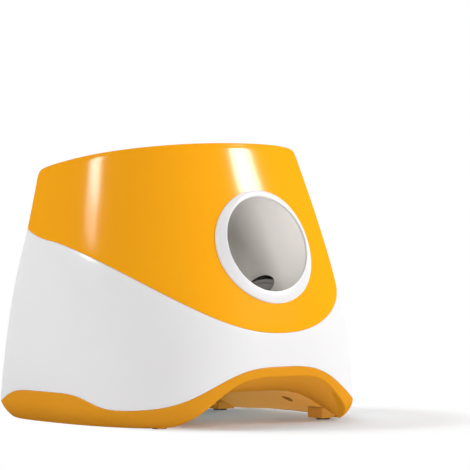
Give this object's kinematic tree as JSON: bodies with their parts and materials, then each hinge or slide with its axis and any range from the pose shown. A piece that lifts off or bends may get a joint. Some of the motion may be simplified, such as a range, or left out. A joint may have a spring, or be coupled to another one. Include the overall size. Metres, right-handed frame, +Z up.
{
  "type": "pet ball launcher",
  "caption": "Rounded automatic ball launcher for dogs: an orange and white body with a bowl on top, a slanted launch tube in front and an arched base.",
  "frame": {"origin": "on the floor under the middle of the base", "axes": "+Z up, +Y towards the rear with the control panel, -Y towards the launch mouth, +X to the right seen from the front"},
  "size_m": [0.2438, 0.2543, 0.21],
  "materials": {
    "orange_gloss": "gloss moulded plastic",
    "orange_base": "gloss moulded plastic",
    "orange_matte": "satin moulded plastic",
    "white_gloss": "gloss moulded plastic",
    "white_bowl": "gloss moulded plastic",
    "white_collar": "gloss moulded plastic",
    "white_inner": "satin moulded plastic",
    "rubber_black": "matt rubber",
    "rubber_grey": "matt soft rubber",
    "charcoal": "satin moulded plastic",
    "motor_steel": "plated steel can",
    "steel": "plain steel",
    "brass": "plain brass",
    "board_green": "solder-masked board",
    "panel_grey": "satin moulded plastic",
    "button_orange": "gloss moulded plastic",
    "button_white": "gloss moulded plastic",
    "clear_lens": "clear moulded plastic"
  },
  "bodies": {
    "launcher": {"ball_sensor_emitter": "charcoal", "ball_sensor_receiver": "charcoal", "base_housing": "orange_base", "battery_box": "charcoal", "battery_contact_left": "brass", "battery_contact_right": "brass", "battery_cover": "orange_matte", "battery_cover_screw": "steel", "bottom_pan": "orange_matte", "control_board": "board_green", "control_board_screw_left": "steel", "control_board_screw_right": "steel", "control_panel": "panel_grey", "foot_pad_front_left": "rubber_black", "foot_pad_front_right": "rubber_black", "foot_pad_rear_left": "rubber_black", "foot_pad_rear_right": "rubber_black", "gate_motor": "charcoal", "gate_motor_screw_front": "steel", "gate_motor_screw_rear": "steel", "gate_pivot_pin": "steel", "hopper_bowl": "white_bowl", "housing_screw_front_left": "steel", "housing_screw_front_right": "steel", "housing_screw_rear_left": "steel", "housing_screw_rear_right": "steel", "indicator_lens": "clear_lens", "launch_collar": "white_collar", "launch_tube_left": "white_inner", "launch_tube_right": "white_inner", "main_board": "board_green", "middle_housing": "white_gloss", "pan_screw_front_left": "steel", "pan_screw_front_right": "steel", "pan_screw_rear_left": "steel", "pan_screw_rear_right": "steel", "power_inlet": "charcoal", "speaker": "charcoal", "tube_screw_left": "steel", "tube_screw_right": "steel", "upper_housing": "orange_gloss", "wheel_motor_left": "motor_steel", "wheel_motor_right": "motor_steel", "wheel_motor_screw_left_front": "steel", "wheel_motor_screw_left_rear": "steel", "wheel_motor_screw_right_front": "steel", "wheel_motor_screw_right_rear": "steel"},
    "left_wheel": {"wheel_hub_left": "charcoal", "wheel_tyre_left": "rubber_grey", "wheel_shaft_left": "steel"},
    "right_wheel": {"wheel_hub_right": "charcoal", "wheel_tyre_right": "rubber_grey", "wheel_shaft_right": "steel"},
    "release_gate": {"gate_arm": "charcoal"},
    "gate_gear": {"gate_pinion": "white_inner"},
    "power_key": {"power_button": "button_orange"},
    "distance_key": {"distance_button": "button_white"}
  },
  "joints": [
    {"name": "left_wheel_spin", "type": "hinge", "parent": "launcher", "child": "left_wheel", "pos_m": [-0.05178, -0.05802, 0.08099], "axis": [-0.5878, 0.2365, 0.7737], "continuous": true},
    {"name": "right_wheel_spin", "type": "hinge", "parent": "launcher", "child": "right_wheel", "pos_m": [0.05178, -0.05802, 0.08099], "axis": [0.5878, 0.2365, 0.7737], "continuous": true},
    {"name": "gate_swing", "type": "hinge", "parent": "launcher", "child": "release_gate", "pos_m": [0.054, 0.03, 0.1491], "axis": [0, 0, 1], "range_deg": [-75, 0]},
    {"name": "gate_gear_turn", "type": "hinge", "parent": "launcher", "child": "gate_gear", "pos_m": [0.075, 0.02236, 0.1491], "axis": [0, 0, 1], "range_deg": [0, 200.1]},
    {"name": "power_press", "type": "slide", "parent": "launcher", "child": "power_key", "axis": [0, -0.9816, -0.1908], "range_m": [0, 0.0012], "stiffness_N_per_m": 500, "springref_m": -0.001},
    {"name": "distance_press", "type": "slide", "parent": "launcher", "child": "distance_key", "axis": [0, -0.9816, -0.1908], "range_m": [0, 0.0012], "stiffness_N_per_m": 500, "springref_m": -0.001}
  ],
  "couplings": [
    {"joint": "gate_gear_turn", "follows": "gate_swing", "ratio": -2.6667}
  ]
}
